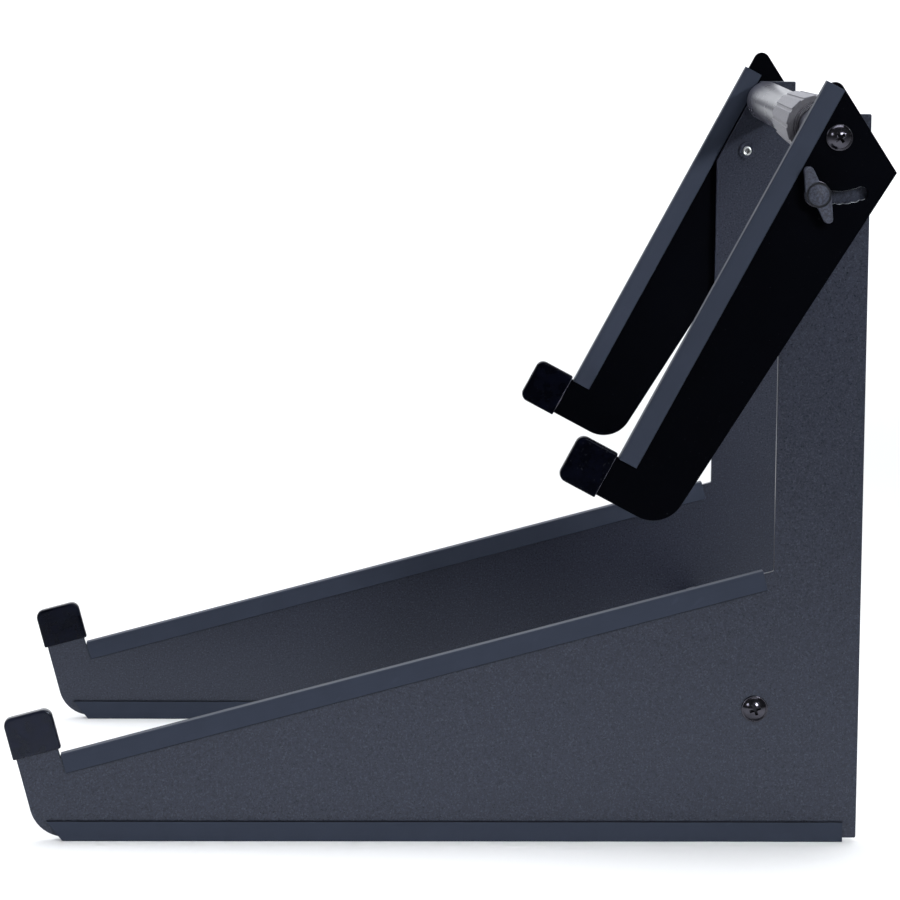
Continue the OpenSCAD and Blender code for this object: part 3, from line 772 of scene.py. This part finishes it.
class STAND_OT_screws(bpy.types.Operator):
    """Flanged pivot and base screws with a cross recess"""

    bl_idname = "stand.screws"
    bl_label = "Screws"

    # How far each kind of screw is turned
    spins = {"pivot": math.radians(38), "base": math.radians(20)}
    rim = 6.75 * MM
    rim_height = 1.1 * MM
    dome = 6.15 * MM
    dome_height = 2.9 * MM
    dome_steps = 12
    # Radius of the ball whose cap the dome is
    ball = (dome ** 2 + dome_height ** 2) / (2 * dome_height)
    shank = 3.0 * MM
    tip_chamfer = 0.5 * MM
    recess_reach = 4.7 * MM
    recess_half_width = 1.35 * MM
    recess_depth = 2.6 * MM
    recess_taper = (0.62, 0.55, 1)
    recess_round = 0.08 * MM
    recess_skin = 0.12 * MM
    overshoot = 0.5 * MM

    def profile(self, length):
        """The turned outline from the shank's tip to the crown of the head."""
        outline = [
            # The shank with its chamfered tip
            (self.shank - self.tip_chamfer, -length),
            (self.shank, self.tip_chamfer - length),
            (self.shank, -0.05 * MM),
            # The flange, rounded more at the top than underneath
            (self.rim - 0.2 * MM, 0),
            (self.rim, 0.2 * MM),
            (self.rim, self.rim_height - 0.35 * MM),
            (self.rim - 0.12 * MM, self.rim_height - 0.1 * MM),
            (self.rim - 0.35 * MM, self.rim_height),
            # The fillet at the foot of the dome
            (self.dome + 0.25 * MM, self.rim_height + 0.08 * MM),
        ]
        reach = math.asin(self.dome / self.ball)
        for step in range(self.dome_steps):
            angle = reach * (1 - step / self.dome_steps)
            outline.append((
                self.ball * math.sin(angle),
                self.rim_height + self.dome_height - self.ball * (1 - math.cos(angle)),
            ))
        return outline

    def cutter(self, turn):
        """One tapered bar of the cross that cuts the recess."""
        clear_pick()
        top = self.rim_height + self.dome_height
        middle = top - self.recess_depth / 2 + self.overshoot
        bpy.ops.mesh.primitive_cube_add(size=1, location=(0, 0, middle))
        bar = bpy.context.object
        bar.scale = (
            2 * self.recess_reach, 2 * self.recess_half_width,
            self.recess_depth + 2 * self.overshoot,
        )
        bpy.ops.object.transform_apply()
        for face in bar.data.polygons:
            face.select = face.normal.z < -0.5
        bpy.ops.object.mode_set(mode="EDIT")
        bpy.ops.transform.resize(value=self.recess_taper, center_override=(0, 0, 0))
        bpy.ops.object.mode_set(mode="OBJECT")
        bar.data.transform(Matrix.Rotation(turn, 4, "Z"))
        return bar

    def in_recess(self, face, crown):
        """Whether a face lies under the dome's surface, within the cross; these faces get a darker
        plating as painted shade in the recess.
        """
        off = face.center - crown
        reach = math.hypot(off.x, off.z)
        sunk = abs(off.y) - (self.ball - math.sqrt(max(0, self.ball ** 2 - reach ** 2)))
        return reach < self.recess_reach and self.recess_skin < sunk < self.recess_depth

    def execute(self, context):
        sides = context.scene.stand_sizes.turned_sides
        for side in SIDES:
            for kind, spin in self.spins.items():
                node = f"{side}_{kind}_screw"
                tip, crown = ends(node, side)
                length = abs(crown - tip) - self.rim_height - self.dome_height
                screw = turned(node + "_finished", self.profile(length), sides)
                for turn in (0, math.radians(90)):
                    cut(screw, "Recess", self.cutter(turn))
                apply_modifier(
                    screw, "Recess rim", "BEVEL", width=self.recess_round, segments=2,
                    limit_method="ANGLE", angle_limit=math.radians(42), use_clamp_overlap=True,
                )
                screw.data.transform(Matrix.Rotation(spin, 4, "Z"))
                stood_out(screw, side, axis_point(node, tip + OUTWARD[side] * length))
                settle(shade_by_angle(screw, 34), node, finish("screw_plating"))
                # The recess's faces get the darker plating, painted shade
                second_finish(screw, "recess_plating", self.in_recess, axis_point(node, crown))
        return {"FINISHED"}


class STAND_OT_wing_bolts(bpy.types.Operator):
    """Winged heads, studs, washers, clinch nuts and spacers of the tilt clamps"""

    bl_idname = "stand.wing_bolts"
    bl_label = "Wing Bolts"

    pitch = 0.8 * MM
    thread_depth = 0.35 * MM
    thread_start = 0.4 * MM
    thread_turns = 9
    crest = 2.5 * MM
    crest_width = 0.12 * MM
    dimple = 1.5 * MM
    dome_rise = 2.0 * MM
    ring = 5.75 * MM
    ring_depth = 0.6 * MM
    ring_sides = 72
    ring_depth_sides = 14
    # How far from the ring, in depths of it, the faces of the groove reach that are painted dark as shade
    groove_share = 1.05
    nut_round = 0.07 * MM

    def stud_profile(self, length):
        """The outline of a stud from its dimpled tip through the thread to the plain shank."""
        outline = [
            # The dimple, from its bottom to its rounded rim
            (self.dimple * 0.45, 0.7 * MM),
            (self.dimple * 0.85, 0.6 * MM),
            (self.dimple, 0.12 * MM),
            (self.dimple + 0.25 * MM, 0.0),
            # The flat end and its rounded edge
            (self.crest - 0.45 * MM, 0.0),
            (self.crest - 0.2 * MM, 0.1 * MM),
        ]
        for turn in range(self.thread_turns):
            foot = self.thread_start + turn * self.pitch
            outline += [
                (self.crest, foot),
                (self.crest, foot + self.crest_width),
                (self.crest - self.thread_depth, foot + self.pitch / 2),
            ]
        last = self.thread_start + self.thread_turns * self.pitch
        return outline + [(self.crest, last), (self.crest, length)]

    def grooved(self, head, centre):
        """Cuts the groove that sets the dome of a wing's head off from its wings."""
        clear_pick()
        bpy.ops.mesh.primitive_torus_add(
            major_segments=self.ring_sides, minor_segments=self.ring_depth_sides,
            major_radius=self.ring, minor_radius=self.ring_depth,
            rotation=(math.radians(90), 0, 0), location=centre,
        )
        bpy.ops.object.transform_apply()
        cut(head, "Groove", bpy.context.object)
        return shade_by_angle(head, 40)

    def in_groove(self, face, centre):
        """Whether a face of a wing's head lies in its groove, which is painted dark as shade."""
        off = face.center - centre
        reach = math.hypot(math.hypot(off.x, off.z) - self.ring, off.y)
        return reach < self.ring_depth * self.groove_share

    def in_dimple(self, face, tip):
        """Whether a face of a stud lies in the dimple of its tip, which is painted darker as shade."""
        return (face.center - tip).length < self.dimple

    def execute(self, context):
        sizes = context.scene.stand_sizes
        for side in SIDES:
            knob, node = side + "_wing_knob", side + "_wing_stud"
            centre = axis_point(node, ends(knob, side)[1] - OUTWARD[side] * self.dome_rise)
            head = self.grooved(moulded(traced(knob), sizes.knob_skin), centre)
            settle(head, knob, finish("wing_nylon"))
            # The groove's faces get the dark finish, painted shade
            second_finish(head, "groove_nylon", self.in_groove, centre)

            inner, outer = ends(node, side)
            tip = axis_point(node, inner)
            outline = self.stud_profile(abs(outer - inner))
            stud = stood_out(turned(node + "_finished", outline, sizes.turned_sides), side, tip)
            settle(shade_by_angle(stud, 30), node, finish("zinc_plating"))
            # The dimple's faces get the darker zinc, painted shade
            second_finish(stud, "dimple_plating", self.in_dimple, tip)

            for kind, name, edge in (
                ("wing_washer", "screw_plating", sizes.small_edge),
                ("clinch_nut", "plate_coat", self.nut_round),
                ("pivot_spacer", "black_nylon", sizes.small_edge),
                ("slot_spacer", "black_nylon", sizes.small_edge),
            ):
                softened(f"{side}_{kind}", name, edge, segments=4)
        return {"FINISHED"}


class STAND_OT_cross_tubes(bpy.types.Operator):
    """Telescoping tubes with their plugs and guide bushes"""

    bl_idname = "stand.cross_tubes"
    bl_label = "Cross Tubes"

    def execute(self, context):
        sizes = context.scene.stand_sizes
        for tier in TIERS:
            for kind in ("outer_tube", "inner_tube"):
                softened(f"{tier}_{kind}", "tube_paint", sizes.tube_edge)
            for kind in ("guide_bush", "inner_plug", "outer_plug"):
                softened(f"{tier}_{kind}", "black_nylon", sizes.small_edge)
        return {"FINISHED"}


class STAND_OT_twist_locks(bpy.types.Operator):
    """Lock collars with finger flats, their collets and threaded sleeves"""

    bl_idname = "stand.twist_locks"
    bl_label = "Twist Locks"

    # Least angle in degrees between two finger flats that is rounded
    flats = 24
    # The Y part of a normal from which a face lies on a collar's end
    end_from = 0.8

    def on_end(self, face):
        """Whether a face lies on one of a collar's ends, which are painted darker as shade."""
        return abs(face.normal.y) > self.end_from

    def execute(self, context):
        sizes = context.scene.stand_sizes
        for tier in TIERS:
            for kind, name, edge in (
                ("lock_collar", "collar_plastic", sizes.collar_edge),
                ("collet", "black_nylon", sizes.small_edge),
                ("thread_sleeve", "black_nylon", sizes.small_edge),
            ):
                piece = softened(f"{tier}_{kind}", name, edge, sharper_than=self.flats)
                if kind == "lock_collar":
                    # The collar's ends get the darker copy of the plastic, painted shade
                    second_finish(piece, "collar_nose", self.on_end)
        return {"FINISHED"}


class STAND_OT_studio(bpy.types.Operator):
    """Pale floor, soft lights and the camera"""

    bl_idname = "stand.studio"
    bl_label = "Studio"

    floor_radius = 30
    floor_sides = 96
    sensor_width = 36
    # Name, place, aim, (width, depth), spread in degrees, and the share of a power that it has
    lights = (
        ("key_softbox", (0.95, -2.45, 1.35), (0.05, -0.5, 0.0), (0.5, 0.5), 36, 1, "key_power"),
        ("fill_softbox", (-1.9, -1.7, 1.2), (0, -0.3, 0.05), (0.6, 0.6), 34, 0.16, "key_power"),
        ("rake_softbox", (1.2, -1.6, 0.9), (0.13, 0.17, 0.27), (0.25, 0.25), 8, 0.06, "key_power"),
        ("top_light", (0, 0.1, 1.5), (0, 0.1, 0), (1.4, 1.0), 90, 1, "top_power"),
        ("sweep_light", (0, 15.9, 2.2), (0, 15.9, 0), (24, 30), 180, 1, "sweep_power"),
    )

    def lay_floor(self, colour):
        """A wide round floor with an even, pale paint."""
        clear_pick()
        bpy.ops.mesh.primitive_circle_add(
            vertices=self.floor_sides, radius=self.floor_radius, fill_type="NGON",
            location=(0, 0, 0),
        )
        floor = bpy.context.object
        floor.name = "studio_floor"
        shade = Shade("studio_floor_paint", Specular_IOR_Level=0.2)
        patches = shade.noise(0.4, 2)
        shade.feed("Base Color", shade.blend(patches, scaled(colour, 0.99), scaled(colour, 1.01)))
        shade.feed("Roughness", 0.7 + patches * 0.1)
        floor.data.materials.append(shade.material)

    def fill_air(self, scene, studio):
        """Even light from all round."""
        world = bpy.data.worlds.new("studio_air")
        world.use_nodes = True
        backdrop = world.node_tree.nodes["Background"]
        backdrop.inputs["Color"].default_value = (*studio.air, 1.0)
        backdrop.inputs["Strength"].default_value = studio.daylight
        scene.world = world
        scene.view_settings.view_transform = "Standard"

    def hang_lights(self, scene, studio):
        """The soft lights, each turned to its aim."""
        for name, place, aim, size, spread, share, power in self.lights:
            lamp = bpy.data.lights.new(name, "AREA")
            lamp.shape, lamp.color = "RECTANGLE", studio.air
            lamp.energy = getattr(studio, power) * share
            lamp.size, lamp.size_y = size
            lamp.spread = math.radians(spread)
            holder = bpy.data.objects.new(name, lamp)
            holder.location = place
            holder.rotation_mode = "QUATERNION"
            holder.rotation_quaternion = (Vector(aim) - Vector(place)).to_track_quat("-Z", "Y")
            scene.collection.objects.link(holder)

    def place_camera(self, scene, studio):
        """The camera, turned, dropped and rolled as in the photograph."""
        turn, drop, roll = studio.camera_turn, studio.camera_drop, studio.camera_roll
        across = Vector((math.cos(turn), -math.sin(turn), 0))
        ahead = Vector((
            math.sin(turn) * math.cos(drop), math.cos(turn) * math.cos(drop), -math.sin(drop)
        ))
        over = across.cross(ahead)
        right = across * math.cos(roll) + over * math.sin(roll)
        up = over * math.cos(roll) - across * math.sin(roll)
        lens = bpy.data.cameras.new("photo_camera")
        lens.lens, lens.sensor_width = studio.lens, self.sensor_width
        lens.clip_start, lens.clip_end = 0.05, 100
        camera = bpy.data.objects.new("photo_camera", lens)
        axes = Matrix((right, up, -ahead)).transposed()
        camera.matrix_world = Matrix.Translation(studio.camera_place) @ axes.to_4x4()
        scene.collection.objects.link(camera)
        scene.camera = camera

    def execute(self, context):
        studio = context.scene.stand_studio
        self.lay_floor(studio.floor)
        self.fill_air(context.scene, studio)
        self.hang_lights(context.scene, studio)
        self.place_camera(context.scene, studio)
        return {"FINISHED"}


class STAND_PT_pieces(bpy.types.Panel):
    """Buttons for each group of pieces"""

    bl_label = "Desktop Stand"
    bl_idname = "STAND_PT_pieces"
    bl_space_type = "VIEW_3D"
    bl_region_type = "UI"
    bl_category = "Stand"

    def draw(self, context):
        for name in GROUPS:
            group = getattr(context.scene, name)
            box = self.layout.box()
            for key in group.__annotations__:
                box.prop(group, key)
        for operator in OPERATORS:
            self.layout.operator(operator.bl_idname)


OPERATORS = (
    STAND_OT_sheet_metal,
    STAND_OT_edge_trims,
    STAND_OT_lip_caps,
    STAND_OT_screws,
    STAND_OT_wing_bolts,
    STAND_OT_cross_tubes,
    STAND_OT_twist_locks,
    STAND_OT_studio,
)
GROUPS = {"stand_sizes": StandSizes, "stand_colours": StandColours, "stand_studio": StandStudio}


def register():
    """Makes the classes and the scene's settings known to Blender."""
    for kind in (*GROUPS.values(), *OPERATORS, STAND_PT_pieces):
        bpy.utils.register_class(kind)
    for name, group in GROUPS.items():
        setattr(bpy.types.Scene, name, PointerProperty(type=group))


def unregister():
    """Takes them out again."""
    for name in GROUPS:
        delattr(bpy.types.Scene, name)
    for kind in (STAND_PT_pieces, *reversed(OPERATORS), *GROUPS.values()):
        bpy.utils.unregister_class(kind)


def main():
    """Builds every piece in order."""
    register()
    bpy.ops.stand.sheet_metal()
    bpy.ops.stand.edge_trims()
    bpy.ops.stand.lip_caps()
    bpy.ops.stand.screws()
    bpy.ops.stand.wing_bolts()
    bpy.ops.stand.cross_tubes()
    bpy.ops.stand.twist_locks()
    bpy.ops.stand.studio()


if __name__ == "__main__":
    main()
